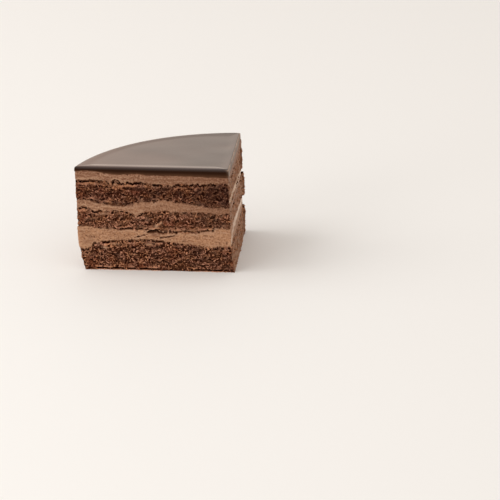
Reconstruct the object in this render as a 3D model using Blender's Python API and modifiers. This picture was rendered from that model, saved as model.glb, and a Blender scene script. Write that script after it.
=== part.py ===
"""A cut slice of layered chocolate torte: three crumb layers, three layers of cream and a glaze.

The slice stands on its flat foot, +Z up, with the origin at the middle of its box's bottom.
The long cut faces -Y, the short cut faces +X, and the curved rim joins them at the back left.
Every layer runs through the whole slice. Lengths are in metres.
"""

import math

import bmesh
import bpy
from mathutils import Vector

NAME = "chocolate_torte_slice"

# The plan: a wedge whose tip is cut off the middle of a round torte.
LONG_CUT = 0.098
SHORT_CUT = 0.0794
TIP_ANGLE = math.radians(88.8)
RIM_RADIUS = 0.1086
HEIGHT = 0.0688

# How the slice stands: it leans to the left, and its foot spreads at the tip and tucks in at the
# rim. At the back the foot has lost this share of its spread.
LEAN = 0.0025
LEAN_START = 0.0005
FOOT_SPREAD = 0.0017
SPREAD_LOSS = 0.6
SPREAD_HEIGHT = 0.006
RIM_TUCK = 0.0036
TUCK_HEIGHT = 0.012

# The layers are a hair apart, and their spreads run through the slice at a slant.
GAP = 0.0003
RIDGE_SLANT = 0.35
RIPPLE_LENGTH = 0.047
RIPPLE_HEIGHT = 0.0005
GLAZE_ROUNDING = 0.0011

# Mesh steps along the long cut, the short cut and up one layer's wall.
LONG_STEPS = 18
SHORT_STEPS = 12
WALL_STEPS = 3

# Each seam between two layers: its height, then its ridges as (distance from the tip along the
# long cut, rise, half width).
SEAMS = (
    (0.0182, ((0.014, -0.0011, 0.012), (0.055, 0.0025, 0.025), (0.095, -0.0046, 0.0065))),
    (0.0275, ((0.004, 0.0021, 0.010), (0.032, -0.0010, 0.018), (0.093, 0.0016, 0.008))),
    (0.0403, ((0.007, -0.0014, 0.006), (0.060, -0.0026, 0.006), (0.094, 0.0018, 0.005))),
    (0.0466, ((0.007, -0.0036, 0.019), (0.042, 0.0012, 0.006), (0.071, -0.0034, 0.011))),
    (0.0594, ((0.027, -0.0005, 0.025), (0.061, -0.0006, 0.006), (0.080, 0.0006, 0.006))),
    (0.0641, ((0.005, -0.0005, 0.014), (0.060, 0.0008, 0.006), (0.090, 0.0021, 0.013))),
)

# The layers from the foot up: name, colour (linear), roughness.
SPONGE_BROWN = (0.105, 0.040, 0.022)
CREAM_BROWN = (0.350, 0.175, 0.100)
GLAZE_BROWN = (0.030, 0.014, 0.009)
LAYERS = (
    ("sponge_bottom", SPONGE_BROWN, 0.9),
    ("cream_lower", CREAM_BROWN, 0.55),
    ("sponge_middle", SPONGE_BROWN, 0.9),
    ("cream_middle", CREAM_BROWN, 0.55),
    ("sponge_top", SPONGE_BROWN, 0.9),
    ("cream_top", CREAM_BROWN, 0.55),
    ("glaze", GLAZE_BROWN, 0.12),
)


def clear_scene():
    for item in list(bpy.data.objects):
        bpy.data.objects.remove(item, do_unlink=True)


def rim_circle():
    """The corners where the cuts meet the rim, and the centre of the rim's circle."""
    left = Vector((-LONG_CUT, 0.0))
    back = SHORT_CUT * Vector((math.cos(TIP_ANGLE), math.sin(TIP_ANGLE)))
    chord = back - left
    inward = Vector((chord.y, -chord.x)).normalized()
    rise = math.sqrt(RIM_RADIUS**2 - (chord.length / 2) ** 2)
    return left, back, (left + back) / 2 + rise * inward


LEFT, BACK, RIM_CENTRE = rim_circle()


def rim_point(share):
    """A point of the rim, from the long cut's end (0) to the short cut's end (1)."""
    start = LEFT - RIM_CENTRE
    end = BACK - RIM_CENTRE
    first = math.atan2(start.y, start.x)
    turn = math.atan2(end.y, end.x) - first
    angle = first + share * turn
    return RIM_CENTRE + RIM_RADIUS * Vector((math.cos(angle), math.sin(angle)))


def plan_point(along, across):
    """A point of the wedge's plan, from its shares along the long cut and along the short cut."""
    middle = rim_point(0.5)
    near = LEFT * along
    far = rim_point(1 - along / 2)
    low = BACK * across
    high = rim_point(across / 2)
    blend = LEFT * along * (1 - across) + BACK * across * (1 - along) + middle * along * across
    return near * (1 - across) + far * across + low * (1 - along) + high * along - blend


def seam_height(seam, x, y):
    """The height of a seam over a point of the plan."""
    height, ridges = seam
    from_tip = RIDGE_SLANT * y - x
    for place, rise, half_width in ridges:
        height += rise * math.exp(-(((from_tip - place) / half_width) ** 2))
    turn = 2 * math.pi / RIPPLE_LENGTH
    return height + RIPPLE_HEIGHT * math.sin(turn * (y - 0.4 * x)) * math.sin(turn * y * 0.6)


def stand(x, y, z):
    """Moves a point of the upright wedge to where the slice's lean and its foot put it."""
    outward = Vector((x, y)) - RIM_CENTRE
    to_rim = min(1.0, max(0.0, -x / LONG_CUT))
    kept = 1 - SPREAD_LOSS * y / SHORT_CUT
    spread = FOOT_SPREAD * kept * (1 - to_rim) * math.exp(-z / SPREAD_HEIGHT)
    near_rim = max(0.0, outward.length / RIM_RADIUS) ** 8
    tuck = RIM_TUCK * near_rim * math.exp(-z / TUCK_HEIGHT)
    inward = -outward.normalized() * tuck * min(1.0, 4 * to_rim)
    lean = LEAN_START - LEAN * z / HEIGHT
    return Vector((x + lean + spread + inward.x, y + inward.y, z))


def layer_mesh(name, floor, roof):
    """A closed layer between two heights, each a function of the place in the plan."""
    bm = bmesh.new()
    bmesh.ops.create_grid(bm, x_segments=LONG_STEPS, y_segments=SHORT_STEPS, size=0.5)
    bmesh.ops.triangulate(bm, faces=bm.faces[:], quad_method="FIXED")
    raised = bmesh.ops.extrude_face_region(bm, geom=bm.faces[:])["geom"]
    roof_verts = [item for item in raised if isinstance(item, bmesh.types.BMVert)]
    bmesh.ops.translate(bm, verts=roof_verts, vec=(0, 0, 1))
    uprights = [edge for edge in bm.edges if edge.verts[0].co.z != edge.verts[1].co.z]
    bmesh.ops.subdivide_edges(bm, edges=uprights, cuts=WALL_STEPS - 1)
    for vert in bm.verts:
        place = plan_point(vert.co.x + 0.5, vert.co.y + 0.5)
        low = floor(place.x, place.y)
        high = roof(place.x, place.y)
        vert.co = stand(place.x, place.y, low + vert.co.z * (high - low))
    bmesh.ops.recalc_face_normals(bm, faces=bm.faces[:])
    mesh = bpy.data.meshes.new(name)
    bm.to_mesh(mesh)
    bm.free()
    return mesh


def level(index, side):
    """The height function of one seam, half a gap up or down; the foot and the top are flat."""
    if index < 0:
        return lambda x, y: 0.0
    if index >= len(SEAMS):
        return lambda x, y: HEIGHT
    return lambda x, y: seam_height(SEAMS[index], x, y) + side * GAP / 2


def layer_material(name, colour, roughness):
    material = bpy.data.materials.new(name)
    material.use_nodes = True
    shader = material.node_tree.nodes["Principled BSDF"]
    shader.inputs["Base Color"].default_value = (*colour, 1.0)
    shader.inputs["Roughness"].default_value = roughness
    return material


def round_top_edge(layer):
    """Rounds the edge that runs round the glaze's top."""
    weights = layer.data.attributes.new("bevel_weight_edge", "FLOAT", "EDGE")
    bm = bmesh.new()
    bm.from_mesh(layer.data)
    for edge in bm.edges:
        flat = all(vert.co.z > HEIGHT - GAP for vert in edge.verts)
        turns = edge.calc_face_angle(0.0) > math.radians(45)
        weights.data[edge.index].value = 1.0 if flat and turns else 0.0
    bm.free()
    bevel = layer.modifiers.new("rounded_edge", "BEVEL")
    bevel.limit_method = "WEIGHT"
    bevel.width = GLAZE_ROUNDING
    bevel.segments = 2


def build_layers(collection):
    layers = []
    for index, (name, colour, roughness) in enumerate(LAYERS):
        mesh = layer_mesh(name, level(index - 1, 1), level(index, -1))
        mesh.materials.append(layer_material(name, colour, roughness))
        layer = bpy.data.objects.new(name, mesh)
        collection.objects.link(layer)
        layers.append(layer)
    round_top_edge(layers[-1])
    return layers


def centre_on_foot(layers):
    """Moves the slice so that the origin is at the middle of its box's bottom."""
    points = [vert.co for layer in layers for vert in layer.data.vertices]
    middle_x = (min(p.x for p in points) + max(p.x for p in points)) / 2
    middle_y = (min(p.y for p in points) + max(p.y for p in points)) / 2
    for layer in layers:
        layer.location = (-middle_x, -middle_y, 0.0)


def main():
    clear_scene()
    collection = bpy.data.collections.new(NAME)
    bpy.context.scene.collection.children.link(collection)
    centre_on_foot(build_layers(collection))


main()
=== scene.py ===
"""The looks of a cut slice of layered chocolate torte, laid out as a Blender add-on.

Each layer is a closed mesh that runs through the slice, in the place of its CAD node: open crumb,
spread cream, and a glaze with a rounded edge. The long cut faces -Y, the short cut faces +X, and
the curved rim joins them at the back left. Lengths are in metres unless a name says otherwise.
"""

import math
import random

import bmesh
import bpy
import numpy as np
from bpy.props import FloatProperty, FloatVectorProperty, IntProperty, PointerProperty
from bpy.types import Operator, Panel, PropertyGroup
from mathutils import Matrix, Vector, noise


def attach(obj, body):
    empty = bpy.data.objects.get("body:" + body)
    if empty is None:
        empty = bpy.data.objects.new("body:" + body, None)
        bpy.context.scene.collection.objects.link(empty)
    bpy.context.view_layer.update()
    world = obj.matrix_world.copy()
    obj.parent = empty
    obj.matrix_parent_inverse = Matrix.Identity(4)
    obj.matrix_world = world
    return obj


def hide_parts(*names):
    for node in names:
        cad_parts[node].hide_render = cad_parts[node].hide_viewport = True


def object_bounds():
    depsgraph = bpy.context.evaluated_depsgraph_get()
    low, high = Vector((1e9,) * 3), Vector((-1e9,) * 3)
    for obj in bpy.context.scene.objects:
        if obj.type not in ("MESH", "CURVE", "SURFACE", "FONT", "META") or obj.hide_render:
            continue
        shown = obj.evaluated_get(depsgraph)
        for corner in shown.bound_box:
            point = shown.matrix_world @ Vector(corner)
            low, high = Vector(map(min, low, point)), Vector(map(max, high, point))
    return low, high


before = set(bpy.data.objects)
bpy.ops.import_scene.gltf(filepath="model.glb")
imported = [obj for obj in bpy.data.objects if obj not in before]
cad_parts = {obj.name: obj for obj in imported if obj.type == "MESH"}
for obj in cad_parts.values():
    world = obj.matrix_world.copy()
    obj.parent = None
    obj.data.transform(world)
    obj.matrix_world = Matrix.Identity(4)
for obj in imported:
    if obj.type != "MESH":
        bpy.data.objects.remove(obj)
CAD_LOW, CAD_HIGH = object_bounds()

bl_info = {
    "name": "Chocolate torte slice",
    "version": (1, 0, 0),
    "blender": (4, 5, 0),
    "location": "View3D > Sidebar > Torte",
    "description": "Builds the crumb, cream, glaze and crumbs of a cut slice of layered torte",
    "category": "Add Mesh",
}

MM = 0.001
BODY = "root"

# The seed of the noise that bends the crumb and the cream. Unseeded, it would differ on each run.
NOISE_SEED = 3
noise.seed_set(NOISE_SEED)

# Each seam between two layers: its height, then its ridges as (distance from the tip along the
# long cut, rise, half width). The ridges run through the slice at a slant.
SEAMS = (
    (0.0182, ((0.014, -0.0011, 0.012), (0.055, 0.0025, 0.025), (0.095, -0.0046, 0.0065))),
    (0.0275, ((0.004, 0.0021, 0.010), (0.032, -0.0010, 0.018), (0.093, 0.0016, 0.008))),
    (0.0403, ((0.007, -0.0014, 0.006), (0.060, -0.0026, 0.006), (0.094, 0.0018, 0.005))),
    (0.0466, ((0.007, -0.0036, 0.019), (0.042, 0.0012, 0.006), (0.071, -0.0034, 0.011))),
    (0.0594, ((0.027, -0.0005, 0.025), (0.061, -0.0006, 0.006), (0.080, 0.0006, 0.006))),
    (0.0641, ((0.005, -0.0005, 0.014), (0.060, 0.0008, 0.006), (0.090, 0.0021, 0.013))),
)
GLAZE_SEAM = 5
RIDGE_SLANT = 0.35
RIPPLE_LENGTH = 0.047
RIPPLE_HEIGHT = 0.0005
SPREAD_LOSS = 0.6
SPREAD_HEIGHT = 0.006
TUCK_HEIGHT = 0.012
LEAN_START = 0.0005

# Creases of the long cut, in millimetres: depth (a ridge's is negative), half width, and a route
# of points (distance from the tip, height).
CREASES = (
    (0.80, 0.50, ((61.3, 22.2), (57.4, 23.3), (52.9, 24.6))),
    (2.60, 0.90, ((52.4, 25.7), (49.5, 26.3), (47.1, 26.6))),
    (1.60, 0.60, ((46, 25.4), (42, 26), (38.7, 26.5), (35, 25.9), (31, 26.7))),
    (-0.80, 0.60, ((46.4, 24.1), (41.3, 24.2), (36.1, 24.9))),
    (-0.90, 0.60, ((52.5, 27.6), (49, 28.4), (46.8, 30.6), (44.2, 32.7))),
    (0.70, 0.45, ((45.2, 22.2), (41.5, 22.8), (36.4, 24))),
    (1.30, 0.50, ((31, 26.7), (27.7, 26.8), (22, 26.4), (16, 27.5), (11, 27.8))),
    (1.30, 0.45, ((74.2, 57.6), (73.6, 59.6), (72, 60.5), (70.4, 59.7), (69.6, 57.8))),
    (-0.70, 1.10, ((87.5, 16.9), (82, 17.7))),
)

# Where a seam strays at the long cut, in millimetres: seam, distance from the tip, rise, half width.
STRAYS = (
    (0, 88, 1, 2), (0, 75, 0.6, 3), (0, 36, -0.8, 6), (0, 14, -1.1, 13),
    (1, 67, -0.4, 4), (1, 49, -0.9, 3), (1, 29, -0.9, 12),
    (2, 87, -1.5, 2.2), (2, 78, -0.7, 6), (2, 60, -0.6, 3), (2, 30, -0.7, 16),
    (3, 83.5, -1.1, 3.2), (3, 76, -0.5, 3), (3, 51.5, -1, 1.3), (3, 48, -0.8, 1.5),
    (4, 90, 0.2, 9), (4, 76, -1.8, 1.4), (4, 67, -1.1, 2.2), (4, 58.5, 0.4, 2.5),
    (4, 46, -1.2, 8), (4, 26, -0.7, 9),
    (5, 92, 0.35, 10),
)

# Patches of the long cut: strength, distance from the tip, height, half length and half height in
# millimetres. Cream is smeared on some of the crumb's, some are moist and red, and some are dark: darker
# crumb, and painted shade under the top sponge's overhang. The cream's own are where crumb is rubbed
# into it, and painted shade below the crack in the lower cream and under the top sponge's overhang.
SMEARED_PATCHES = (
    (0.6, 44, 57.6, 7, 0.9), (0.9, 81.5, 15.2, 2.2, 1), (0.6, 74, 17.4, 3, 0.7),
    (0.7, 53, 17.5, 2.5, 0.7), (0.6, 30, 27, 12, 0.9), (0.9, 50.5, 27.9, 2.4, 0.8),
    (0.9, 47.3, 30.2, 1.4, 1.3), (0.8, 44.6, 32.3, 1.4, 1), (0.6, 79.5, 37.6, 4, 1),
    (0.5, 10, 29.3, 6, 0.8), (0.8, 72, 58.4, 1.5, 1),
)
MOIST_PATCHES = (
    (0.8, 96, 51, 3, 7), (0.5, 80, 52.5, 5, 3.5), (0.6, 61, 52.5, 7, 2.5),
    (0.8, 95, 34, 3, 6), (0.8, 40, 32.5, 5, 3), (0.9, 37, 14, 4, 4),
    (0.9, 92, 5, 4, 4), (0.9, 1.5, 7, 2.5, 8), (0.6, 60, 3, 9, 2.5),
)
DARK_AND_SHADED_PATCHES = (
    (1.2, 84, 46.4, 4.5, 1.6), (1.3, 71, 44.8, 7, 1.7), (0.6, 6, 52, 10, 7),
    (0.6, 50, 53, 12, 5), (0.5, 74, 10, 3, 4), (0.9, 48, 17.6, 3.5, 2.5),
    (0.6, 25, 14, 4, 3), (0.6, 87, 36, 2.5, 3), (0.5, 14, 34.5, 7, 2.5),
)
CRUMBY_AND_SHADED_CREAM_PATCHES = (
    (0.7, 49, 24.4, 3.2, 1.6), (0.5, 44.5, 25.4, 2.5, 0.8), (0.5, 86, 45, 4, 1),
    (0.6, 71, 43.4, 7, 0.9), (0.4, 22, 26.4, 9, 1), (0.4, 60, 60, 9, 0.8),
    (0.6, 90, 66, 12, 1.1), (0.20, 93, 19.5, 6, 2.2),
)

# Gaps where two layers have come apart at the long cut: the seam, where the gap starts and ends,
# in millimetres from the tip, and its depth. Between them, gaps up to the small depth are random,
# shifted from seam to seam by this many points of the outline.
GAPS = (
    (0, 90, 87, 1.3), (0, 83, 75, 1.7), (0, 65.8, 43.2, 1.4),
    (1, 71, 62.6, 1.7), (1, 54, 47, 1.5), (1, 26, 20, 1),
    (2, 96.8, 91.6, 1.9), (2, 88.4, 81.9, 1.5), (2, 58.7, 52.9, 1.8),
    (3, 88.8, 84.2, 2), (3, 80.4, 66, 2.2), (3, 49, 46, 2), (3, 30, 18, 1),
    (4, 98, 80.6, 2.1), (4, 72.2, 54.2, 1.9), (4, 48.4, 42.6, 1.5), (4, 34, 8, 1.2),
)
GAP_HALF_WIDTH = 0.60
GAP_FADE = 1.2
SMALL_GAP = 1.1
GAP_SHIFT = 37

# The same for the gaps just above the foot: start, end and depth, then their height.
FOOT_GAPS = (
    (88.5, 80, 2.2), (79, 71, 2.6), (68, 63, 2.4), (60, 48, 1.5), (28, 8, 1.2),
)
FOOT_GAP_HEIGHT = 1.00
FOOT_GAP_HALF_WIDTH = 0.45
SMALL_FOOT_GAP = 0.3

# Where the knife has drawn cream over the short cut, in millimetres: half width, and a route of points
# (distance from the tip, height). These smears are painted paler than the cream, partly as painted
# sheen.
KNIFE_SMEARS = (
    (2.0, ((-2.0, 19.5), (8.0, 23.0), (19.0, 25.2), (60.0, 24.8), (80.0, 23.2))),
    (2.1, ((-2.0, 47.8), (20.0, 47.2), (39.0, 45.6), (80.0, 43.6))),
)

# How far apart the noise of two seams, of two sponges and of two creams is, in millimetres.
SEAM_APART = 31.7
SPONGES_APART = 41.3
CREAMS_APART = 23.9

# How much of the seams' raggedness the glaze's seam has, and how far the creams reach past theirs.
CALM_GLAZE_SEAM = 0.3
CREAM_OVERLAP = 0.0002

# How far up from a sponge's bottom its crumb is pressed flat in places, and how far up from the
# foot the sponge starts to stand out at the back corner.
PRESSED_HEIGHT = 0.0016
BULGE_START = 0.004

# How far from the tip the layers start to be painted darker towards it, in millimetres: partly darker
# crumb and cream, partly painted shade where the light falls off away from the left.
TIP_REACH = 75.0

# How far a full crest stands above the wall around it, in millimetres, and how many blurs even out the
# wall to find its height there. The materials paint from this relief: lighter crests, partly painted
# highlight, and darker hollows, painted shade.
SPONGE_CREST, SPONGE_BLURS = 0.34, 36
CREAM_CREST, CREAM_BLURS = 0.16, 16

# The step between the points round the glaze, and between the places where a loose crumb can stick.
COARSE_STEP = 0.0005

# The rings of the glaze: up its cut band, round its top edge, and over its top as shares of the
# way to the middle. The cut band bulges by a hair. The edge is this much sharper at the short cut,
# where the cut band keeps some gloss, and tighter at the rim.
BAND_RINGS = 7
EDGE_RINGS = 12
BAND_BULGE = 0.00010
TOP_SHARES = [0.97 * (ring / 24) ** 1.3 for ring in range(1, 25)]
GLAZE_REACH = 0.034
SHARP_SHORT_EDGE = 0.80
SHORT_CUT_GLOSS = 0.05
TIGHT_RIM = 0.65

# The set glaze stands a hair higher behind its rounded edge than in the middle, which waves a little,
# and its edge is painted this much lighter, a painted sheen.
BEAD_HEIGHT = 0.00008
BEAD_REACH = 0.005
WAVE_HEIGHT = 0.00016
EDGE_PAINTED_SHEEN = 0.2

# The rim's edge is dull this far in, and this far from the back corner.
DULL_REACH = 0.0016
DULL_RUN = 0.030

# The crumbs that stand out at the back corner: height, reach past the corner, half lengths.
BACK_CORNER_CRUMBS = (
    (0.0412, 0.0001, (0.0009, 0.0009, 0.0007)),
    (0.0339, 0.0004, (0.0014, 0.0008, 0.0006)),
    (0.0180, 0.0000, (0.0009, 0.0009, 0.0007)),
    (0.0111, 0.0002, (0.0009, 0.0009, 0.0008)),
)

# The camera's place, seen from the tip's foot, and the surround's tints low down and high up.
CAMERA_FROM_TIP = (0.1218, -1.5508, 0.5864)
LOW_TINT = (1.0, 0.855, 0.75)
HIGH_TINT = (1.0, 0.978, 0.955)


def length(name, description, default):
    """A property that holds a length."""
    return FloatProperty(name=name, description=description, default=default, unit="LENGTH")


def angle(name, description, degrees):
    """A property that holds an angle."""
    return FloatProperty(name=name, description=description, default=math.radians(degrees),
                         subtype="ANGLE")


def colour(name, description, *default):
    """A property that holds a linear colour."""
    return FloatVectorProperty(name=name, description=description, default=default, subtype="COLOR")


class TorteWedge(PropertyGroup):
    """The plan of the slice and the way it stands."""

    long_cut: length("Long cut", "Length of the cut that faces the front", 0.098)
    short_cut: length("Short cut", "Length of the cut that faces right", 0.0794)
    tip_angle: angle("Tip angle", "Angle between the two cuts", 88.8)
    rim_radius: length("Rim radius", "Radius of the torte's curved rim", 0.1086)
    height: length("Height", "Height from the foot to the top of the glaze", CAD_HIGH.z)
    lean: length("Lean", "How far the top leans to the left", 0.0025)
    foot_spread: length("Foot spread", "How far the foot spreads under the tip", 0.0017)
    rim_tuck: length("Rim tuck", "How far the foot tucks in under the rim", 0.0036)
    raggedness: length("Ragged seams", "How far a seam strays from its smooth line", 0.0010)


class TorteCrumb(PropertyGroup):
    """The open crumb of the three sponge layers."""

    step: length("Mesh step", "Distance between the points of the cut crumb", 0.00025)
    pore: length("Pore spacing", "Usual distance between two pores", 0.0030)
    flatness: FloatProperty(
        name="Flatness", description="How much wider than high the pores are",
        default=1.25, min=1.0)
    bottom: colour("Bottom crumb", "Colour of the bottom layer's cut crumb", 0.053, 0.0100, 0.0025)
    middle: colour("Middle crumb", "Colour of the middle layer's cut crumb", 0.078, 0.0155, 0.0036)
    top: colour("Top crumb", "Colour of the top layer's cut crumb", 0.051, 0.0102, 0.0028)
    red: colour("Moist patches", "Colour of the crumb where it is moist", 0.170, 0.042, 0.020)
    # This colour is darker crumb and painted shade: under the top sponge's overhang and, in part,
    # towards the tip.
    shaded: colour("Dark patches", "Colour of the crumb where it is densest", 0.030, 0.010, 0.008)
    # Painted light on the crumb: the pore colour is painted shade over its darker hollows, and the crest
    # colours are partly painted highlight, partly lighter crumb.
    dark: colour("Pores", "Colour inside the pores", 0.014, 0.002, 0.0005)
    light: colour("Crests", "Colour of the torn crests of the crumb", 0.700, 0.345, 0.222)
    tan: colour("Tan crests", "Colour of the crests in the warmer parts", 0.670, 0.318, 0.170)
    warm: colour("Warm parts", "Colour of the cut crumb in its warmer parts", 0.085, 0.021, 0.005)


class TorteCream(PropertyGroup):
    """The cream between the sponge layers."""

    step: length("Mesh step", "Distance between the points of the cut cream", 0.00034)
    drag: length("Drag", "Depth of the marks that the knife drags in the cream", 0.00016)
    lower: colour("Lower cream", "Colour of the lower cream", 0.455, 0.232, 0.117)
    middle: colour("Middle cream", "Colour of the middle cream", 0.345, 0.171, 0.089)
    top: colour("Top cream", "Colour of the cream under the glaze", 0.219, 0.095, 0.046)
    pale: colour("Thin cream", "Colour of the cream where it is smeared thin", 0.500, 0.305, 0.195)
    # This colour is the drawn cream painted paler than the cream, partly as a painted sheen.
    rubbed: colour("Rubbed cream", "Colour of the cream drawn over the short cut", 0.690, 0.500, 0.360)
    # This colour is both cream with crumb rubbed in and painted shade, in the hollows, the creases and
    # the shaded patches.
    shade: colour("Crumby cream", "Colour of the cream with crumb rubbed in", 0.150, 0.058, 0.027)
    # This colour is painted shade, deep in the creases.
    deep: colour("Creases", "Colour of the cream deep in its creases", 0.045, 0.014, 0.005)


class TorteGlaze(PropertyGroup):
    """The mirror glaze on top."""

    rounding: length("Rounding", "How far down the rounded top edge reaches", 0.0018)
    shoulder: length("Shoulder", "How far in from the edge the glaze starts to sink", 0.0034)
    brown: colour("Glaze", "Colour of the glaze", 0.021, 0.0072, 0.0028)
    # This colour is a painted sheen: the glaze painted lighter towards the left and along the rounded
    # edge, in place of a brighter reflection.
    painted_sheen: colour("Bloom", "Colour of the glaze where it is set a little duller", 0.120, 0.058, 0.038)
    thin: colour("Thin glaze", "Colour of the glaze where it is thin over cream", 0.096, 0.043, 0.022)
    smeared: colour("Smeared glaze", "Colour of the glaze's smeared edge", 0.480, 0.345, 0.255)
    roughness: FloatProperty(
        name="Roughness", description="Roughness of the glaze's surface",
        default=0.10, min=0.0, max=1.0, subtype="FACTOR")


class TorteLooseCrumbs(PropertyGroup):
    """The crumbs that stick to the cut faces."""

    count: IntProperty(
        name="Crumbs", description="How many crumbs stick to the slice", default=900, min=1)
    size: length("Crumb size", "Usual radius of a loose crumb", 0.00040)
    seed: IntProperty(name="Seed", description="Which scatter of crumbs is made", default=7)


class TorteStudio(PropertyGroup):
    """The camera, the light and the floor."""

    lens: FloatProperty(
        name="Lens", description="Focal length of the long lens, in millimetres",
        default=187.2, min=1.0)
    turn: angle("Turn", "How far the camera stands to the right of the long cut's front", 4.06)
    pitch: angle("Pitch", "How far the camera looks down", 20.16)
    surround: FloatProperty(
        name="Surround", description="Brightness of the pale room around the slice",
        default=0.695, min=0.0)
    panel: FloatProperty(
        name="Left panel", description="Power of the soft light at the left, in watts",
        default=18.5, min=0.0)
    fill: FloatProperty(
        name="Front panel", description="Power of the small soft light at the front left, in watts",
        default=6.5, min=0.0)
    pale: colour("Floor", "Colour of the floor", 0.885, 0.875, 0.850)


class TorteSettings(PropertyGroup):
    """Everything that a user would change."""

    wedge: PointerProperty(type=TorteWedge)
    crumb: PointerProperty(type=TorteCrumb)
    cream: PointerProperty(type=TorteCream)
    glaze: PointerProperty(type=TorteGlaze)
    loose: PointerProperty(type=TorteLooseCrumbs)
    studio: PointerProperty(type=TorteStudio)


# --- The wedge ---------------------------------------------------------------------------------


def wedge_corners(wedge):
    """The corners where the cuts meet the rim, and the centre of the rim's circle."""
    left = np.array((-wedge.long_cut, 0.0))
    back = wedge.short_cut * np.array((math.cos(wedge.tip_angle), math.sin(wedge.tip_angle)))
    chord = back - left
    across = np.linalg.norm(chord)
    inward = np.array((chord[1], -chord[0])) / across
    rise = math.sqrt(wedge.rim_radius**2 - (across / 2) ** 2)
    return left, back, (left + back) / 2 + rise * inward


def shares(run, step):
    """Even shares from 0 up to, and without, 1, about a step apart on a run that long."""
    count = max(2, round(run / step))
    return np.arange(count) / count


def rim_points(wedge, along):
    """Points of the rim at these shares of the way from the long cut to the short cut."""
    left, back, centre = wedge_corners(wedge)
    first = math.atan2(*(left - centre)[::-1])
    turn = math.atan2(*(back - centre)[::-1]) - first
    turned = first + np.asarray(along) * turn
    return centre + wedge.rim_radius * np.stack((np.cos(turned), np.sin(turned)), axis=-1)


def softened(values, rounds):
    """Values round a closed loop, each mixed with its neighbours this many times."""
    for _ in range(rounds):
        values = (np.roll(values, 1, axis=0) + 2 * values + np.roll(values, -1, axis=0)) / 4
    return values


class Outline:
    """Points a step apart round the plan: along the long cut, the rim and the short cut."""

    CORNER_WEAR = 0.0004
    CORNER_REACH = 0.006
    BLEND_ROUNDS = 6

    def __init__(self, wedge, step):
        left, back, _ = wedge_corners(wedge)
        chord = np.linalg.norm(back - left)
        arc = wedge.rim_radius * 2 * math.asin(chord / 2 / wedge.rim_radius)
        along = [shares(run, step) for run in (wedge.long_cut, arc, wedge.short_cut)]
        sharp = np.concatenate((
            along[0][:, None] * left,
            rim_points(wedge, along[1]),
            (1 - along[2])[:, None] * back,
        ))
        self.at_back, self.at_left = (
            np.exp(-((np.linalg.norm(sharp - corner, axis=1) / self.CORNER_REACH) ** 2))
            for corner in (back, left))
        worn = max(1, round(2 * (self.CORNER_WEAR / step) ** 2))
        self.points = softened(sharp, worn)
        tangent = np.roll(self.points, -1, axis=0) - np.roll(self.points, 1, axis=0)
        outward = softened(np.stack((-tangent[:, 1], tangent[:, 0]), axis=1), self.BLEND_ROUNDS)
        self.outward = outward / np.linalg.norm(outward, axis=1, keepdims=True)
        self.middle = self.points.mean(0)
        self.count = len(self.points)
        run = np.repeat(range(3), [len(part) for part in along])
        self.on_long, self.on_rim, self.on_short = (
            softened((run == i).astype(float), self.BLEND_ROUNDS) for i in range(3))

    def shrunk(self, inset):
        """The outline drawn in towards its middle by a share, or by one share for each point."""
        return self.middle + (self.points - self.middle) * (1 - np.reshape(inset, (-1, 1)))


def seam_height(seam, x, y):
    """The height of a seam over points of the plan."""
    height, ridges = seam
    from_tip = RIDGE_SLANT * y - x
    for place, rise, half_width in ridges:
        height = height + rise * np.exp(-(((from_tip - place) / half_width) ** 2))
    turn = 2 * math.pi / RIPPLE_LENGTH
    return height + RIPPLE_HEIGHT * np.sin(turn * (y - 0.4 * x)) * np.sin(turn * y * 0.6)


def stand(wedge, x, y, z):
    """Points of the upright wedge, moved to where the slice's lean and its foot put them."""
    centre = wedge_corners(wedge)[2]
    out_x, out_y = x - centre[0], y - centre[1]
    reach = np.hypot(out_x, out_y)
    to_rim = np.clip(-x / wedge.long_cut, 0.0, 1.0)
    kept = 1 - SPREAD_LOSS * y / wedge.short_cut
    spread = wedge.foot_spread * kept * (1 - to_rim) * np.exp(-z / SPREAD_HEIGHT)
    tuck = wedge.rim_tuck * (reach / wedge.rim_radius) ** 8 * np.exp(-z / TUCK_HEIGHT)
    tuck = tuck * np.minimum(1.0, 4 * to_rim)
    lean = LEAN_START - wedge.lean * z / wedge.height
    return np.stack((x + lean + spread - out_x / reach * tuck, y - out_y / reach * tuck, z), axis=-1)


def frame_shift(wedge):
    """The step from the wedge's tip to the frame's origin, which is under the box's middle."""
    plan = np.concatenate((rim_points(wedge, np.linspace(0, 1, 200)), np.zeros((1, 2))))
    points = stand(wedge, *np.broadcast_arrays(*plan.T, np.linspace(0, wedge.height, 80)[:, None]))
    middle = (points.min((0, 1)) + points.max((0, 1))) / 2
    cad_middle = (CAD_LOW + CAD_HIGH) / 2
    return np.array((cad_middle.x - middle[0], cad_middle.y - middle[1], 0.0))


# --- Walls -------------------------------------------------------------------------------------


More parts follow.
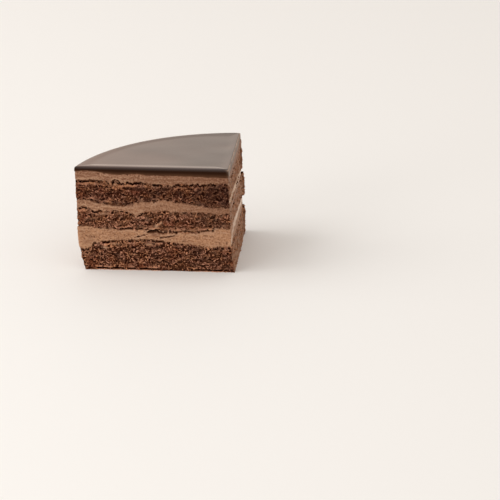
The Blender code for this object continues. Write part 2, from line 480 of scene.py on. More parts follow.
class Wall:
    """A layer's cut faces as a grid of points: rows go up, columns go round the outline."""

    def __init__(self, wedge, step, seams, overlap=0.0):
        self.wedge = wedge
        self.seams = seams
        self.outline = Outline(wedge, step)
        self.low = self.edge(seams[0]) - overlap * (seams[0] is not None)
        self.high = self.edge(seams[1]) + overlap
        rows = round(float((self.high - self.low).mean()) / step) + 1
        self.share = np.linspace(0, 1, rows)[:, None]
        self.plan_x, self.plan_y = (axis + 0 * self.share for axis in self.outline.points.T)
        self.up = self.low + self.share * (self.high - self.low)
        self.base = stand(wedge, self.plan_x, self.plan_y, self.up)

    def edge(self, seam):
        """The height of a seam round the cut faces, with the ragged line that crumb leaves."""
        if seam is None:
            return np.zeros(self.outline.count)
        jag = [ragged_line(Vector((x, y, SEAM_APART * seam))) for x, y in self.outline.points / MM]
        along = -self.outline.points[:, 0] / MM
        stray = sum(rise * np.exp(-(((along - place) / half_width) ** 2))
                    for line, place, rise, half_width in STRAYS if line == seam)
        ragged = self.wedge.raggedness * (CALM_GLAZE_SEAM if seam == GLAZE_SEAM else 1.0)
        return (seam_height(SEAMS[seam], *self.outline.points.T) + stray * self.outline.on_long * MM
                + ragged * np.array(jag))

    def field(self, value_at, offset=0.0):
        """A function's value at every point of the grid; it is given the point in millimetres."""
        points = (self.base / MM + offset).reshape(-1, 3).tolist()
        values = np.array([value_at(Vector(point)) for point in points])
        return values.reshape(self.up.shape + values.shape[1:])

    def cloud(self, scale, offset=0.0):
        """Soft noise at every point of the grid; the scale is one number, or one for each axis."""
        scale = scale if isinstance(scale, float) else Vector(scale)
        return self.field(lambda spot: noise.noise(spot * scale), offset)

    def edge_distance(self):
        """How far each point is from the nearest seam, in millimetres; the foot is no seam."""
        below = np.inf if self.seams[0] is None else (self.up - self.low) / MM
        return np.minimum(below, (self.high - self.up) / MM)

    def towards_tip(self):
        """How near each point of the long cut is to the tip, from 0 at a reach away to 1."""
        return np.clip(1 + self.plan_x / (TIP_REACH * MM), 0, 1) * self.outline.on_long

    def patches(self, places):
        """How strongly these patches of the long cut show at each point, from 0 up."""
        along, up = -self.plan_x / MM, self.up / MM
        total = sum(strength * np.exp(-(((along - place) / half_length) ** 2)
                                      - ((up - height) / half_height) ** 2)
                    for strength, place, height, half_length, half_height in places)
        return total * self.outline.on_long

    def crease_depth(self):
        """How far the creases of the long cut go in at each point, in millimetres."""
        along, up = -self.plan_x / MM, self.up / MM + 0.45 * self.cloud(0.8)
        broken = np.clip(1 + 1.8 * self.cloud(0.55), 0.2, 1.7)
        narrowed = 0.6 + 0.4 * broken
        total = sum(depth * np.exp(-((route_distance(route, along, up) / half_width / narrowed) ** 2))
                    for depth, half_width, route in CREASES)
        return total * broken * self.outline.on_long

    def smears(self):
        """How thickly the knife has drawn cream over each point of the short cut, from 0 to 1."""
        uneven = self.cloud((0.0, 0.12, 0.5)) + 0.5 * self.cloud((0.0, 0.5, 1.3))
        across, up = self.plan_y / MM, self.up / MM
        total = sum(np.exp(-((route_distance(route, across, up) / half_width) ** 4))
                    for half_width, route in KNIFE_SMEARS)
        return np.clip(total * (0.95 + 1.1 * uneven), 0, 1) * self.outline.on_short

    def gap_depth(self, in_sponge):
        """How far the gaps at the seams and the foot go in, in millimetres; most of a gap is torn
        out of the sponge."""
        along, up = -self.outline.points[:, 0] / MM, self.up / MM
        broken = plan_cloud(self.outline.points, (0.45, 0.45), 5.3)
        total = np.zeros(self.up.shape)
        for seam, line in zip(self.seams, (self.low, self.high)):
            if seam is None:
                middle, half_width, most, runs = (
                    FOOT_GAP_HEIGHT, FOOT_GAP_HALF_WIDTH, SMALL_FOOT_GAP, FOOT_GAPS)
            else:
                inside = GAP_HALF_WIDTH * (1 if self.seams[0] == seam else -1) * in_sponge
                middle, half_width, most = line / MM + inside, GAP_HALF_WIDTH, SMALL_GAP
                runs = [gap[1:] for gap in GAPS if gap[0] == seam]
            depth = np.clip(2.0 * np.roll(broken, GAP_SHIFT * (seam or 0)), 0, most)
            for first, last, deep in runs:
                reach = np.clip(np.minimum(first - along, along - last) / GAP_FADE + 0.5, 0, 1)
                reach = reach * self.outline.on_long * np.clip(1 + 1.2 * broken, 0.4, 1.4)
                depth = np.maximum(depth, deep * reach)
            total += depth * np.exp(-(((up - middle) / half_width) ** 2))
        return total

    def carved(self, inward):
        """The grid moved in from the cut faces, by millimetres."""
        points = self.base.copy()
        points[:, :, :2] -= self.outline.outward * (inward * MM)[:, :, None]
        return points

    def cap(self, seam):
        """Rings that close the layer behind a seam, from just inside the cut to a flat middle."""
        if seam is None:
            return np.empty((0, self.outline.count, 3))
        rings = []
        for inset, flatness in ((0.04, 0.3), (0.10, 1.0)):
            plan = self.outline.shrunk(inset)
            height = seam_height(SEAMS[seam], *plan.T)
            height += flatness * (SEAMS[seam][0] - height)
            rings.append(stand(self.wedge, *plan.T, height))
        return np.array(rings)

    def mesh(self, name, points, **painted):
        """The closed mesh of the layer, with the painted values for its material to read."""
        floor, roof = self.cap(self.seams[0])[::-1], self.cap(self.seams[1])
        mesh = lofted(name, np.concatenate((floor, points, roof)) + frame_shift(self.wedge))
        for title, values in painted.items():
            paint(mesh, title, np.pad(values, ((len(floor), len(roof)), (0, 0))))
        return mesh


def plan_cloud(plan, scale, height):
    """Soft noise over points of the plan, at one height of the noise."""
    across, deep = scale
    return np.array([noise.noise(Vector((x * across, y * deep, height))) for x, y in plan / MM])


def route_distance(route, along, up):
    """How far points of a cut face are from a route of straight runs."""
    away = np.full(up.shape, np.inf)
    for (x0, z0), (x1, z1) in zip(route, route[1:]):
        run_x, run_z = x1 - x0, z1 - z0
        share = np.clip(((along - x0) * run_x + (up - z0) * run_z) / (run_x**2 + run_z**2), 0, 1)
        away = np.minimum(away, np.hypot(along - x0 - share * run_x, up - z0 - share * run_z))
    return away


def ragged_line(spot):
    """How a seam strays from its smooth line, about -1 to 1."""
    return (0.45 * noise.noise(spot * 0.16) + 0.55 * noise.noise(spot * 0.42)
            + 0.55 * noise.noise(spot * 0.95) + 0.30 * noise.noise(spot * 2.1))


def blurred(grid, rounds):
    """A wall's values, each mixed this many times with those beside, above and below it."""
    for _ in range(rounds):
        grid = (np.roll(grid, 1, 1) + 2 * grid + np.roll(grid, -1, 1)) / 4
        tall = np.concatenate((grid[:1], grid, grid[-1:]))
        grid = (tall[:-2] + 2 * tall[1:-1] + tall[2:]) / 4
    return grid


def lofted(name, rings):
    """A closed mesh through rings of equally many points, from the lowest to the highest."""
    rows, columns = rings.shape[:2]
    index = np.arange(rows * columns).reshape(rows, columns)
    beside = np.roll(index, -1, axis=1)
    quads = np.stack((index[:-1], index[1:], beside[1:], beside[:-1]), axis=-1)
    caps = [index[0].tolist(), index[-1][::-1].tolist()]
    mesh = bpy.data.meshes.new(name)
    mesh.from_pydata(rings.reshape(-1, 3).tolist(), [], quads.reshape(-1, 4).tolist() + caps)
    mesh.shade_smooth()
    return mesh


def paint(mesh, name, values):
    """Keeps one value for each point of a mesh, for its material to read."""
    layer = mesh.attributes.new(name, "FLOAT", "POINT")
    layer.data.foreach_set("value", np.ascontiguousarray(values, dtype=np.float32).ravel())


def add_piece(mesh, material, slot, *nodes):
    """Puts a mesh in the scene as a piece that stands for its CAD nodes."""
    mesh.materials.append(material)
    piece = bpy.data.objects.new(mesh.name, mesh)
    bpy.context.scene.collection.objects.link(piece)
    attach(piece, BODY)
    if nodes:
        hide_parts(*nodes)
    return piece


# --- Relief ------------------------------------------------------------------------------------


def smooth(value):
    """0 below 0, 1 above 1, and a soft step between."""
    value = min(1.0, max(0.0, value))
    return value * value * (3 - 2 * value)


def bubble(spot, spacing, fullness):
    """The depth of the round pore that a spot lies in, and 0 between the pores."""
    near, centres = noise.voronoi(spot / spacing)
    size = fullness * (0.72 + 0.28 * noise.cell(centres[0] * 9.7))
    return spacing * math.sqrt(max(0.0, size * size - near[0] * near[0]))


def pocket(spot, spacing, rim):
    """How deep a spot lies in its pore, from 0 on the torn wall to the next pore up to 1."""
    near, centres = noise.voronoi(spot / spacing)
    own = 0.65 + 0.35 * noise.cell(centres[0] * 9.7)
    return own * smooth((near[1] - near[0]) / rim)


def granule(spot, spacing):
    """How far a grain of crumb stands up at a spot, from 0 between the grains to 1."""
    near, centres = noise.voronoi(spot / spacing)
    own = 0.5 + 0.5 * noise.cell(centres[0] * 9.7)
    return own * own * smooth(1 - near[0] / 0.5)


def crumb_depth(spot, crumb):
    """How deep the torn crumb lies at a spot, in millimetres; its swirls and grains are below 0."""
    aside = Vector((31.7, 12.9, 57.3))
    flat = Vector((spot.x, spot.y, crumb.flatness * spot.z))
    bent = flat + 0.80 * noise.noise_vector(flat * 0.55) + 0.35 * noise.noise_vector(flat * 1.6)
    pore = crumb.pore / MM
    opened = smooth(0.5 + 1.9 * noise.noise(bent * 0.33 + aside))
    torn = smooth(0.5 + 1.5 * noise.noise(bent * 0.55 + aside))
    curl = 3.4 * noise.noise(bent * 0.19)
    bitten = smooth(0.60 + 1.7 * noise.noise(bent * 0.95 + aside))
    swirl = bitten * smooth(1 - abs(curl - round(curl)) / 0.25)
    thread = smooth(1 - abs(noise.noise(bent * 0.50 - aside)) / 0.14)
    clod = noise.noise(bent * 0.20 - aside)
    return (0.80 * opened * pocket(bent, pore, 0.40) - (0.28 + 0.60 * torn) * swirl
            - 0.40 * (1 - torn) * thread - 0.45 * granule(bent + aside, 0.55 * pore)
            - 0.50 * clod + 0.20 * noise.noise(spot * 2.3))


def sponge_layer(name, seams, film_by_run, tip_dark_and_shade, bulge, settings, seed):
    """A sponge layer between two seams, its cut faces torn into open crumb. It stands out by this
    bulge, in millimetres, at the back corner."""
    wall = Wall(settings.wedge, settings.crumb.step, seams)
    outline = wall.outline
    offset = np.array((0.0, 0.0, SPONGES_APART * seed))
    depth = wall.field(lambda spot: crumb_depth(spot, settings.crumb), offset)
    patch = wall.cloud((0.16, 0.16, 0.45), offset)
    smudge = wall.cloud(0.27, -offset)
    rubbed = wall.smears()
    film = (film_by_run[0] * outline.on_long + film_by_run[1] * outline.on_rim
            + film_by_run[2] * outline.on_short * (1 - outline.at_back)) * (1 + 1.3 * patch)
    film += 0.9 * np.clip(2.2 * smudge - 0.1, 0, 1) * np.exp(-wall.edge_distance() / 0.9)
    film = np.clip(film + wall.patches(SMEARED_PATCHES) * (1 + 1.5 * smudge), 0, 1)
    film = np.maximum(film, rubbed)
    moist = np.clip(wall.patches(MOIST_PATCHES) * (1 + smudge) + 0.6 * smudge, 0, 1)
    # Darker crumb in patches, and painted shade under the top sponge's overhang and, in part, towards
    # the tip.
    shaded = np.clip(wall.patches(DARK_AND_SHADED_PATCHES) * (1 - smudge) + 0.9 * patch
                     + tip_dark_and_shade * wall.towards_tip(), 0, 1)
    at_foot = np.exp(-(((wall.up - wall.low) / PRESSED_HEIGHT) ** 2))
    gap = wall.gap_depth(in_sponge=1.0)
    inward = (depth * (1 - 0.60 * film) * (1 - 0.7 * np.clip(0.5 + 2.5 * patch, 0, 0.8) * at_foot)
              + 0.45 * wall.cloud(0.11, -offset) + 0.10 + gap + wall.crease_depth()
              - bulge * outline.at_back * (1 - np.exp(-((wall.up / BULGE_START) ** 2))))
    jitter = 0.12 * wall.field(lambda spot: noise.noise_vector(spot * 1.3), offset)
    jitter[:, :, 2] *= np.minimum(1.0, np.minimum(wall.share, 1 - wall.share) * 8)
    points = wall.carved(inward) + jitter * MM
    if seams[0] is None:
        points[0, :, 2] = 0.0
    # Relief: how far a point stands above the blurred wall, lowered in the gaps. The material paints
    # lighter crests from it, partly painted highlight, and near-black pores and gaps, painted shade; the
    # film is taken out of the gaps so that they stay dark.
    relief = np.clip((blurred(inward, SPONGE_BLURS) - inward) / SPONGE_CREST - 0.6 * gap, -1, 1)
    return wall.mesh(name, points, relief=relief, film=film * np.clip(1.3 - gap, 0, 1),
                     rubbed=rubbed, moist=moist, shaded=shaded)


def cream_depth(spot, cream):
    """How far the knife has dragged the cream in or out at a spot, in millimetres."""
    bent = spot + 1.2 * noise.noise_vector(spot * 0.25)
    streak = noise.noise(Vector((bent.x * 0.12, bent.y * 0.12, bent.z * 0.9)))
    fine = noise.noise(Vector((bent.x * 0.45, bent.y * 0.45, bent.z * 1.7)))
    pit = bubble(spot + 0.4 * noise.noise_vector(spot), 2.4, 0.26)
    grain = noise.noise(spot * 1.1) + 0.8 * noise.noise(spot * 2.4)
    return cream.drag / MM * (streak + 0.6 * fine) + 0.5 * pit + 0.19 * grain


def cream_layer(name, seams, tip_dark_and_shade, hollow, settings, seed):
    """A cream layer between two seams, with the marks of the knife along its cut faces. It lies
    back by these hollows, in millimetres, at the back corner and at the left one."""
    wall = Wall(settings.wedge, settings.cream.step, seams, CREAM_OVERLAP)
    outline = wall.outline
    offset = np.array((0.0, 0.0, CREAMS_APART * seed))
    lip = wall.cloud(0.30, offset)
    near_seam = np.exp(-wall.edge_distance() / 0.8)
    crease = wall.crease_depth()
    creased = np.clip(crease, 0, 2)
    inward = (wall.field(lambda spot: cream_depth(spot, settings.cream), offset)
              + 0.35 * wall.cloud(0.13, offset) + 0.10 + (0.35 * lip + 0.15) * near_seam
              + 0.4 * wall.gap_depth(in_sponge=0.0) + crease
              + hollow[0] * outline.at_back + hollow[1] * outline.at_left)
    # Relief, lowered in the creases: the material paints the raised cream lighter as painted highlight,
    # and the hollows darker and the creases near black as painted shade.
    relief = np.clip((blurred(inward, CREAM_BLURS) - inward) / CREAM_CREST - 0.5 * creased, -1, 1)
    rubbed = wall.smears()
    # Crumb rubbed into the cream near the seams and in patches, and painted shade: in the creases, below
    # the crack, under the top sponge's overhang and, in part, towards the tip.
    crumby = (np.clip(1.7 * wall.cloud(0.55, offset) - 0.1, 0, 1) * near_seam
              + 0.10 * outline.on_short * (1 - rubbed) + tip_dark_and_shade * wall.towards_tip())
    crumby = np.clip(crumby + wall.patches(CRUMBY_AND_SHADED_CREAM_PATCHES) * (1 + lip) + 0.4 * creased, 0, 1)
    return wall.mesh(name, wall.carved(inward), relief=relief, rubbed=rubbed, crumby=crumby)


def ring_values(floor_rings, below, band, edge):
    """A value for each ring of the glaze: below, up its cut band, round its edge, and 0 on top."""
    return np.concatenate((np.full(floor_rings, below), band, edge, np.zeros(len(TOP_SHARES))))


def glaze_layer(name, settings):
    """The glaze: a flat mirror that sinks to a rounded edge over a band of cut glaze."""
    wedge, glaze = settings.wedge, settings.glaze
    wall = Wall(wedge, COARSE_STEP, (GLAZE_SEAM, GLAZE_SEAM))
    outline, low, top = wall.outline, wall.low, wedge.height
    tight = (1 - SHARP_SHORT_EDGE * outline.on_short) * (1 - TIGHT_RIM * outline.on_rim)
    round_down, round_in = glaze.rounding * tight, glaze.shoulder * tight
    band = np.linspace(0, 1, BAND_RINGS)
    profile = [(low + share * (top - round_down - low), 0 * low - BAND_BULGE * math.sin(math.pi * share))
               for share in band]
    profile += [(top - round_down * (1 - math.sin(turn)), round_in * (1 - math.cos(turn)))
                for turn in np.linspace(0, math.pi / 2, EDGE_RINGS + 1)[1:]]
    profile += [(top + 0 * low, round_in + (GLAZE_REACH - round_in) * share) for share in TOP_SHARES]
    rings, painted_sheen, dull = [], [], []
    for height, inset in profile:
        plan = outline.shrunk(inset / GLAZE_REACH)
        cloud = plan_cloud(plan, (0.035, 0.06), 2.7)
        behind = np.clip((inset - round_in) / BEAD_REACH, 0, 1)
        sunk = behind**2 * (3 - 2 * behind) * (BEAD_HEIGHT + WAVE_HEIGHT * (1 + cloud))
        rings.append(stand(wedge, *plan.T, height - sunk))
        # Painted sheen: the top is painted lighter towards the left, in soft streaks, and along the
        # rounded edge.
        painted_sheen.append(np.clip(-0.05 - 0.9 * plan[:, 0] / wedge.long_cut + 0.5 * cloud
                             + EDGE_PAINTED_SHEEN * (1 - behind), 0, 1))
        dull.append(outline.on_rim * np.clip(1 + plan[:, 0] / DULL_RUN, 0, 0.8)
                    * np.clip(1.5 - inset / DULL_REACH, 0, 1))
    floor = wall.cap(GLAZE_SEAM)[::-1]
    mesh = lofted(name, np.concatenate((floor, rings)) + frame_shift(wedge))
    closed = len(floor)
    cut = ring_values(closed, 1.0, np.ones(BAND_RINGS), np.linspace(0.95, 0, EDGE_RINGS))
    thin = ring_values(closed, 1.0, (1 - band) ** 2, np.zeros(EDGE_RINGS))
    rubbed = ring_values(closed, 1.0, 0.42 + 0.4 * (1.6 * band - 0.6) ** 2,
                         np.arange(EDGE_RINGS) < EDGE_RINGS // 2)
    drawn = np.clip(0.9 + 0.7 * plan_cloud(outline.points, (0.0, 0.09), 7.1), 0, 1)
    smeared = np.outer(rubbed, drawn * outline.on_short)
    cut = np.outer(cut, 1 - SHORT_CUT_GLOSS * outline.on_short)
    dull = np.pad(np.array(dull), ((closed, 0), (0, 0)))
    paint(mesh, "cut", np.maximum(np.maximum(cut, dull), 0.9 * smeared))
    paint(mesh, "thin", np.repeat(thin, outline.count))
    paint(mesh, "smeared", smeared)
    paint(mesh, "painted_sheen", np.pad(np.array(painted_sheen), ((closed, 0), (0, 0)), mode="edge"))
    return mesh


def crumb_lump(bm, spot, size, dice):
    """Adds one uneven lump of crumb, of a radius or of three half lengths."""
    made = bmesh.ops.create_icosphere(bm, subdivisions=2, radius=1.0)["verts"]
    seed = Vector((dice.uniform(0, 90), dice.uniform(0, 90), dice.uniform(0, 90)))
    for vert in made:
        dent = 1 + 0.45 * noise.noise(vert.co * 1.4 + seed) + 0.25 * noise.noise(vert.co * 3.1 + seed)
        vert.co = Vector(c * s for c, s in zip(vert.co * dent, size)) + spot


def loose_crumbs(name, settings):
    """Small lumps of crumb that stick to the cut faces and the rim, as one mesh."""
    wedge, loose = settings.wedge, settings.loose
    outline = Outline(wedge, COARSE_STEP)
    dice = random.Random(loose.seed)
    shift = frame_shift(wedge)
    bm = bmesh.new()
    shades = []
    for _ in range(loose.count):
        i = dice.randrange(outline.count)
        radius = loose.size * dice.uniform(0.5, 1.9)
        size = Vector(radius * dice.uniform(0.7, 1.3) for _ in range(3))
        seam = dice.randrange(5)
        stray = abs(dice.gauss(0.0, 0.0012)) + radius * 0.4
        height = seam_height(SEAMS[seam], *outline.points[i]) + (stray if seam % 2 else -stray)
        place = stand(wedge, *outline.points[i], height) + shift
        place[:2] -= outline.outward[i] * radius * dice.uniform(0.2, 1.1)
        crumb_lump(bm, Vector(place), size, dice)
        shades.append((dice.uniform(-0.5, 0.7), dice.uniform(0.0, 0.35)))
    corner = outline.points[np.argmax(outline.points @ (1.0, math.sin(settings.studio.turn)))]
    for height, reach, size in BACK_CORNER_CRUMBS:
        place = stand(wedge, *corner, height) + shift + np.array((reach, 0.0, 0.0))
        crumb_lump(bm, Vector(place), Vector(size), dice)
        shades.append((-0.3, 0.0))
    mesh = bpy.data.meshes.new(name)
    bm.to_mesh(mesh)
    bm.free()
    mesh.shade_smooth()
    shades = np.repeat(np.array(shades), len(mesh.vertices) // len(shades), axis=0)
    paint(mesh, "relief", shades[:, 0])
    paint(mesh, "film", shades[:, 1])
    return mesh


# --- Materials ---------------------------------------------------------------------------------


def node_of(tree, kind, inputs=(), **settings):
    """A shader node with its settings and its inputs, each input a socket or a plain value."""
    made = tree.nodes.new(kind)
    for key, value in settings.items():
        setattr(made, key, value)
    for key, value in dict(inputs).items():
        if isinstance(value, bpy.types.NodeSocket):
            tree.links.new(value, made.inputs[key])
        else:
            made.inputs[key].default_value = value
    return made


def mask_group(name, stretch, detail, roughness, distortion):
    """A shared group that puts out a mask from 0 to 1: patches of noise, or streaks if stretched."""
    found = bpy.data.node_groups.get(name)
    if found:
        return found
    tree = bpy.data.node_groups.new(name, "ShaderNodeTree")
    tree.interface.new_socket("Vector", in_out="INPUT", socket_type="NodeSocketVector")
    for socket in ("Scale", "Low", "High"):
        tree.interface.new_socket(socket, in_out="INPUT", socket_type="NodeSocketFloat")
    tree.interface.new_socket("Mask", in_out="OUTPUT", socket_type="NodeSocketFloat")
    given = tree.nodes.new("NodeGroupInput").outputs
    drawn = node_of(tree, "ShaderNodeMapping", {"Vector": given["Vector"], "Scale": stretch})
    cloud = node_of(tree, "ShaderNodeTexNoise", {
        "Vector": drawn.outputs["Vector"], "Scale": given["Scale"], "Detail": detail,
        "Roughness": roughness, "Distortion": distortion})
    reach = node_of(tree, "ShaderNodeMapRange", {
        "Value": cloud.outputs["Fac"], "From Min": given["Low"], "From Max": given["High"]},
        interpolation_type="SMOOTHSTEP")
    node_of(tree, "NodeGroupOutput", {"Mask": reach.outputs["Result"]})
    return tree


def blank_material(name):
    """A new material's tree, its Principled shader and its object coordinates."""
    material = bpy.data.materials.new(name)
    material.use_nodes = True
    tree = material.node_tree
    spot = node_of(tree, "ShaderNodeTexCoord").outputs["Object"]
    return material, tree, tree.nodes["Principled BSDF"], spot


def mottled(tree, spot, scale, low, high):
    """Soft patches of one size: noise that is taken from this range to a mask from 0 to 1."""
    group = mask_group("Torte mottle", (1.0, 1.0, 1.0), 4.0, 0.6, 0.0)
    inputs = {"Vector": spot, "Scale": scale, "Low": low, "High": high}
    return node_of(tree, "ShaderNodeGroup", inputs, node_tree=group).outputs["Mask"]


def streaked(tree, spot, scale):
    """Streaks along the layers, as the knife drags them: a mask from 0 to 1."""
    group = mask_group("Torte streaks", (0.07, 0.07, 1.0), 3.0, 0.5, 0.3)
    inputs = {"Vector": spot, "Scale": scale, "Low": 0.38, "High": 0.64}
    return node_of(tree, "ShaderNodeGroup", inputs, node_tree=group).outputs["Mask"]


def ranged(tree, source, from_min, from_max, to_min=0.0, to_max=1.0):
    """A value, taken from one range to another and held at its ends."""
    return node_of(tree, "ShaderNodeMapRange", {
        "Value": source, "From Min": from_min, "From Max": from_max, "To Min": to_min,
        "To Max": to_max}).outputs["Result"]


def coated(tree, base, *coats):
    """A colour under coats of others. Each coat is a colour, the mask that it follows and how strong
    it gets, then the mask's values where it starts and where it is strongest, if not 0 and 1."""
    for colour_over, mask, strength, *ends in coats:
        factor = ranged(tree, mask, *(ends or (0, 1)), 0.0, strength)
        first, second = (value if isinstance(value, bpy.types.NodeSocket) else (*value, 1.0)
                         for value in (base, colour_over))
        base = node_of(tree, "ShaderNodeMix", {0: factor, 6: first, 7: second},
                       data_type="RGBA").outputs[2]
    return base


def painted(tree, *names):
    """The values that a mesh's points keep under these names."""
    return [node_of(tree, "ShaderNodeAttribute", attribute_name=name).outputs["Fac"] for name in names]


def finished(tree, shader, base, bump, driven, constant):
    """Feeds the shader its base colour, its bump as (height, distance, strength), and the sockets
    that a mask drives, each as for ranged, and sets those that are the same all over."""
    tree.links.new(base, shader.inputs["Base Color"])
    height, distance, strength = bump
    relief = node_of(tree, "ShaderNodeBump", {
        "Height": height, "Distance": distance, "Strength": strength})
    tree.links.new(relief.outputs["Normal"], shader.inputs["Normal"])
    for name, source in driven.items():
        tree.links.new(ranged(tree, *source), shader.inputs[name])
    for name, value in constant.items():
        shader.inputs[name].default_value = value


def sponge_material(name, brown, settings, crests, pores):
    """Dark open crumb: painted near black in the pores as painted shade, lighter on its torn crests
    partly as painted highlight, filmed with cream.
    """
    crumb, cream = settings.crumb, settings.cream
    material, tree, shader, spot = blank_material(name)
    relief, film, rubbed, moist, shaded = painted(
        tree, "relief", "film", "rubbed", "moist", "shaded")
    warmth = mottled(tree, spot, 130.0, 0.42, 0.58)
    patch = mottled(tree, spot, 170.0, 0.38, 0.66)
    cloud = mottled(tree, spot, 420.0, 0.38, 0.64)
    speck = mottled(tree, spot, 950.0, 0.40, 0.68)
    grain = mottled(tree, spot, 1800.0, 0.2, 0.8)
    fleck = mottled(tree, spot, 2400.0, 0.42, 0.62)
    light = coated(tree, crumb.light, (crumb.tan, warmth, 1.0))
    brown = coated(
        tree, brown, (crumb.warm, warmth, 0.6), (crumb.dark, patch, 0.45), (light, speck, 0.12))
    # Painted highlight on the crests and painted shade in the pores and gaps, from the relief; the dark
    # patches are darker crumb and painted shade.
    brown = coated(
        tree, brown, (light, relief, crests, 0.12, 0.85), (brown, fleck, 0.38),
        (crumb.red, moist, 0.55), (crumb.shaded, shaded, 0.75), (crumb.dark, relief, pores, 0.05, -0.50))
    # The cream film: painted paler where the knife drew cream over the short cut, partly as painted
    # sheen, and darker in the hollows as painted shade.
    smear = coated(
        tree, cream.middle, (cream.pale, cloud, 1.0), (cream.shade, fleck, 0.40),
        (cream.rubbed, rubbed, 0.97), (crumb.middle, relief, 0.8, -0.1, -0.8))
    finished(
        tree, shader, coated(tree, brown, (smear, film, 1.0)), (grain, 0.00015, 0.6),
        {"Roughness": (film, 0, 1, 0.75, 0.40), "Coat Weight": (film, 0.25, 0.85, 0.0, 0.40)},
        {"Coat Roughness": 0.35, "Specular IOR Level": 0.01})
    return material


def cream_material(name, brown, settings):
    """Light chocolate cream: streaked along the layers, with crumb rubbed into it here and there,
    painted lighter on its raised parts and darker in its hollows and creases as painted highlight and
    shade, and painted paler where the knife drew it over the short cut, partly as painted sheen.
    """
    cream = settings.cream
    material, tree, shader, spot = blank_material(name)
    relief, rubbed, crumby = painted(tree, "relief", "rubbed", "crumby")
    patch = mottled(tree, spot, 170.0, 0.40, 0.68)
    speck = mottled(tree, spot, 520.0, 0.58, 0.72)
    grain = mottled(tree, spot, 800.0, 0.35, 0.65)
    # Painted highlight on the raised parts, painted shade in the hollows, the creases (near black) and
    # the shaded patches; the drawn cream is painted paler, partly as painted sheen.
    brown = coated(
        tree, brown, (cream.pale, streaked(tree, spot, 500.0), 0.15), (cream.shade, patch, 0.30),
        (cream.shade, grain, 0.45, 1, 0), (cream.shade, speck, 0.50),
        (cream.pale, relief, 0.55, 0.0, 0.9), (cream.shade, relief, 0.68, 0.0, -0.8),
        (cream.shade, crumby, 1.0), (cream.deep, relief, 0.8, -0.75, -1.0),
        (cream.rubbed, rubbed, 0.95))
    finished(
        tree, shader, brown, (grain, 0.0001, 0.5),
        {"Roughness": (rubbed, 0, 1, 0.50, 0.30), "Coat Weight": (rubbed, 0, 1, 0.0, 0.25)},
        {"Coat Roughness": 0.25, "Specular IOR Level": 0.25})
    return material


def glaze_material(name, settings):
    """Dark mirror glaze, duller where it is cut, and lighter where it is smeared thin; a painted sheen
    lightens its top towards the left and along its rounded edge.
    """
    glaze = settings.glaze
    material, tree, shader, spot = blank_material(name)
    cut, thin, smeared, painted_sheen = painted(tree, "cut", "thin", "smeared", "painted_sheen")
    smear = coated(tree, glaze.smeared, (glaze.thin, streaked(tree, spot, 1500.0), 0.4))
    # A painted sheen lightens the top towards the left and along the rounded edge.
    brown = coated(
        tree, glaze.brown, (glaze.painted_sheen, painted_sheen, 1.0), (glaze.brown, cut, 1.0, 0, 0.6),
        (glaze.thin, thin, 1.0), (smear, smeared, 1.0))
    finished(
        tree, shader, brown, (mottled(tree, spot, 45.0, 0.0, 1.0), 0.0003, 0.3),
        {"Roughness": (cut, 0, 1, glaze.roughness, 0.42), "Coat Weight": (cut, 0, 1, 1.0, 0.0)},
        {"Coat Roughness": 0.06, "Coat IOR": 1.85, "IOR": 1.33, "Specular IOR Level": 0.05})
    return material


# --- Operators ---------------------------------------------------------------------------------


class TORTE_OT_add_sponges(Operator):
    """Adds the three sponge layers with their open crumb"""

    bl_idname = "torte.add_sponges"
    bl_label = "Sponge layers"

    def execute(self, context):
        settings = context.scene.torte
        crumb = settings.crumb
        layers = (
            ("sponge_bottom", (None, 0), crumb.bottom, (0.05, 0.22, 0.54), 0.25, 1.2, 0.94, 0.95),
            ("sponge_middle", (1, 2), crumb.middle, (0.10, 0.22, 0.58), 0.35, 1.5, 0.85, 0.95),
            ("sponge_top", (3, 4), crumb.top, (0.03, 0.18, 0.56), 0.55, 0.8, 0.65, 0.95),
        )
        for number, (node, seams, brown, film, tip_dark_and_shade, bulge, crests, pores) in enumerate(layers):
            mesh = sponge_layer(node + "_crumb", seams, film, tip_dark_and_shade, bulge, settings, number + 1)
            material = sponge_material(node + "_crumb", brown, settings, crests, pores)
            add_piece(mesh, material, "sponge", node)
        return {"FINISHED"}


class TORTE_OT_add_creams(Operator):
    """Adds the three cream layers with the marks of the knife"""

    bl_idname = "torte.add_creams"
    bl_label = "Cream layers"

    def execute(self, context):
        settings = context.scene.torte
        cream = settings.cream
        layers = (
            ("cream_lower", (0, 1), cream.lower, 0.0, (0.5, -1.0)),
            ("cream_middle", (2, 3), cream.middle, 0.48, (0.5, 0.0)),
            ("cream_top", (4, 5), cream.top, 0.42, (-0.6, 0.0)),
        )
        for number, (node, seams, brown, tip_dark_and_shade, hollow) in enumerate(layers):
            mesh = cream_layer(node + "_spread", seams, tip_dark_and_shade, hollow, settings, number + 1)
            add_piece(mesh, cream_material(node, brown, settings), "cream", node)
        return {"FINISHED"}


class TORTE_OT_add_glaze(Operator):
    """Adds the mirror glaze with its rounded edge"""

    bl_idname = "torte.add_glaze"
    bl_label = "Glaze"

    def execute(self, context):
        settings = context.scene.torte
        mesh = glaze_layer("glaze_mirror", settings)
        add_piece(mesh, glaze_material("mirror_glaze", settings), "glaze", "glaze")
        return {"FINISHED"}


class TORTE_OT_add_loose_crumbs(Operator):
    """Adds the loose crumbs that stick to the slice"""

    bl_idname = "torte.add_loose_crumbs"
    bl_label = "Loose crumbs"

    def execute(self, context):
        settings = context.scene.torte
        mesh = loose_crumbs("loose_crumbs", settings)
        material = sponge_material("loose_crumb", settings.crumb.bottom, settings, 0.7, 0.8)
        add_piece(mesh, material, "sponge")
        return {"FINISHED"}


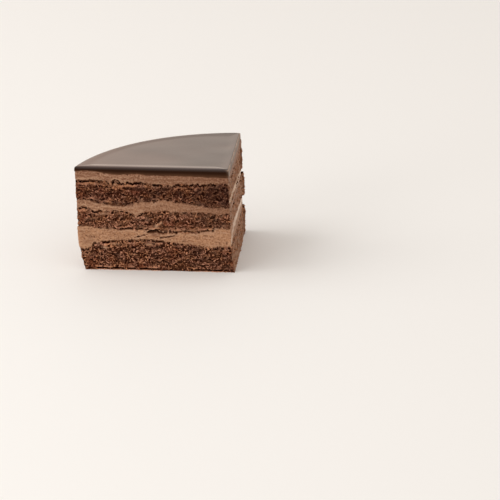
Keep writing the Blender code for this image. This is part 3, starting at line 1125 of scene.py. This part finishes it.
class TORTE_OT_set_stage(Operator):
    """Adds the camera, the soft light and the pale floor"""

    bl_idname = "torte.set_stage"
    bl_label = "Camera, light and floor"

    def execute(self, context):
        scene = context.scene
        settings = scene.torte
        add_camera(scene, settings)
        add_floor(scene, settings.studio)
        add_lights(scene, settings)
        scene.view_settings.view_transform = "Standard"
        return {"FINISHED"}


def add_camera(scene, settings):
    """The camera at the photograph's place, which was found from the tip of the wedge."""
    studio = settings.studio
    camera = bpy.data.objects.new("photo_view", bpy.data.cameras.new("photo_view"))
    camera.data.lens = studio.lens
    camera.location = Vector(CAMERA_FROM_TIP) + Vector(frame_shift(settings.wedge))
    camera.rotation_euler = (math.pi / 2 - studio.pitch, 0.0, studio.turn)
    scene.collection.objects.link(camera)
    scene.camera = camera


def add_floor(scene, studio):
    """A plain pale floor."""
    bm = bmesh.new()
    bmesh.ops.create_grid(bm, x_segments=1, y_segments=1, size=4.0)
    mesh = bpy.data.meshes.new("floor")
    bm.to_mesh(mesh)
    bm.free()
    material, _, shader, _ = blank_material("floor")
    for name, value in (("Base Color", (*studio.pale, 1.0)), ("Roughness", 0.6),
                        ("Specular IOR Level", 0.2)):
        shader.inputs[name].default_value = value
    mesh.materials.append(material)
    floor = bpy.data.objects.new("floor", mesh)
    floor.location.z = CAD_LOW.z
    scene.collection.objects.link(floor)


def add_lights(scene, settings):
    """Soft light: a pale surround that is brighter at the left, and a large panel there."""
    studio = settings.studio
    world = bpy.data.worlds.new("surround")
    world.use_nodes = True
    tree = world.node_tree
    background = tree.nodes["Background"]
    around = node_of(tree, "ShaderNodeTexCoord").outputs["Generated"]
    left = Vector((-0.5, -0.1, 0.7)).normalized()
    towards = node_of(tree, "ShaderNodeVectorMath", {0: around, 1: left}, operation="DOT_PRODUCT")
    side = ranged(tree, towards.outputs["Value"], -0.6, 1, 0.94, 1.10)
    height = node_of(tree, "ShaderNodeSeparateXYZ", {"Vector": around}).outputs["Z"]
    low = ranged(tree, height, 0.20, 0.55, 1.46 * studio.surround, studio.surround)
    strength = node_of(tree, "ShaderNodeMath", {0: side, 1: low}, operation="MULTIPLY")
    tree.links.new(strength.outputs["Value"], background.inputs["Strength"])
    tint = coated(tree, LOW_TINT, (HIGH_TINT, height, 1.0, 0.38, 0.60))
    tree.links.new(tint, background.inputs["Color"])
    scene.world = world
    middle = Vector((0.0, 0.0, settings.wedge.height / 2))
    for name, place, size, power in (
        ("left_panel", Vector((-1.60, -0.15, 1.30)), 1.6, studio.panel),
        ("front_panel", Vector((-1.10, -1.40, 0.60)), 0.7, studio.fill),
    ):
        light = bpy.data.objects.new(name, bpy.data.lights.new(name, "AREA"))
        light.data.size = size
        light.data.energy = power
        light.location = place
        light.rotation_euler = (middle - place).to_track_quat("-Z", "Y").to_euler()
        light.visible_camera = False
        scene.collection.objects.link(light)


class VIEW3D_PT_torte(Panel):
    """Lists the steps that build the slice"""

    bl_label = "Chocolate torte slice"
    bl_idname = "VIEW3D_PT_torte"
    bl_space_type = "VIEW_3D"
    bl_region_type = "UI"
    bl_category = "Torte"

    def draw(self, context):
        layout = self.layout
        for operator in PIECE_OPERATORS:
            layout.operator(operator.bl_idname)
        settings = context.scene.torte
        for part in (settings.wedge, settings.crumb, settings.cream, settings.glaze,
                     settings.loose, settings.studio):
            box = layout.box()
            for name in part.__annotations__:
                box.prop(part, name)


PROPERTY_GROUPS = (TorteWedge, TorteCrumb, TorteCream, TorteGlaze, TorteLooseCrumbs, TorteStudio,
                   TorteSettings)
PIECE_OPERATORS = (TORTE_OT_add_sponges, TORTE_OT_add_creams, TORTE_OT_add_glaze,
                   TORTE_OT_add_loose_crumbs, TORTE_OT_set_stage)


def register():
    for item in (*PROPERTY_GROUPS, *PIECE_OPERATORS, VIEW3D_PT_torte):
        bpy.utils.register_class(item)
    bpy.types.Scene.torte = PointerProperty(type=TorteSettings)


def unregister():
    del bpy.types.Scene.torte
    for item in reversed((*PROPERTY_GROUPS, *PIECE_OPERATORS, VIEW3D_PT_torte)):
        bpy.utils.unregister_class(item)


def main():
    register()
    bpy.ops.torte.add_sponges()
    bpy.ops.torte.add_creams()
    bpy.ops.torte.add_glaze()
    bpy.ops.torte.add_loose_crumbs()
    bpy.ops.torte.set_stage()


if __name__ == "__main__":
    main()
